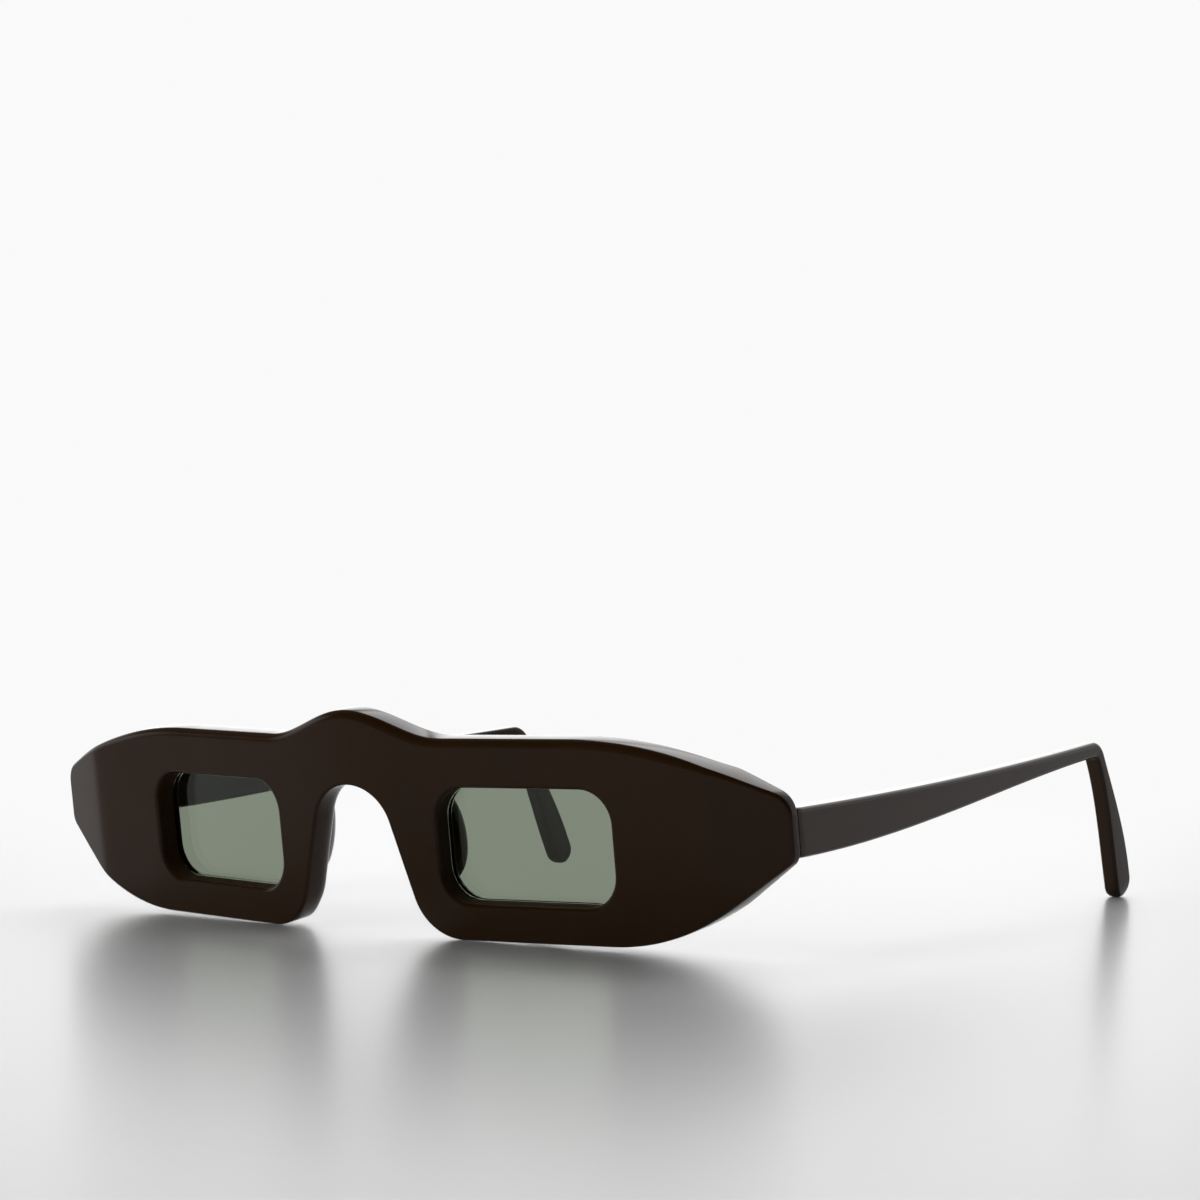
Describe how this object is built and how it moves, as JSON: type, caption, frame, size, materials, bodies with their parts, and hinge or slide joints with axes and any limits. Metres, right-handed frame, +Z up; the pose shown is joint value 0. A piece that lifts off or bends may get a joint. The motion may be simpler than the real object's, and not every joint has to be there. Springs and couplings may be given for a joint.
{
  "type": "sunglasses",
  "caption": "Sunglasses with a wide angular acetate front, small rectangular smoke-green lenses, a raised bridge, built-up nose pads and temples that fold on screw hinges.",
  "frame": {"origin": "centre of the bottom of the bounding box, on the surface that the open sunglasses stand on", "axes": "+X towards the wearer's left, +Y from the front back towards the ears, +Z up; they stand on the two rims and the two temple tips"},
  "size_m": [0.144, 0.1368, 0.0341],
  "materials": {
    "acetate_black": "polished black acetate with a soft sheen",
    "lens_smoke": "plain smoke-green tint, clear polish",
    "hinge_steel": "satin",
    "core_nickel": "bright drawn nickel silver"
  },
  "bodies": {
    "front": {"front_frame": "acetate_black", "lens_left": "lens_smoke", "lens_right": "lens_smoke", "nose_pad_left": "acetate_black", "nose_pad_right": "acetate_black", "hinge_front_left": "hinge_steel", "hinge_front_right": "hinge_steel", "hinge_screw_left": "core_nickel", "hinge_screw_right": "core_nickel"},
    "left_arm": {"temple_left": "acetate_black", "temple_core_left": "core_nickel", "hinge_temple_left": "hinge_steel"},
    "right_arm": {"temple_right": "acetate_black", "temple_core_right": "core_nickel", "hinge_temple_right": "hinge_steel"}
  },
  "joints": [
    {"name": "fold_left", "type": "hinge", "parent": "front", "child": "left_arm", "pos_m": [0.0667, -0.0519, 0.01734], "axis": [0, -0.1443, 0.9895], "range_deg": [0, 87]},
    {"name": "fold_right", "type": "hinge", "parent": "front", "child": "right_arm", "pos_m": [-0.0667, -0.0519, 0.01734], "axis": [0, 0.1443, -0.9895], "range_deg": [0, 83]}
  ]
}
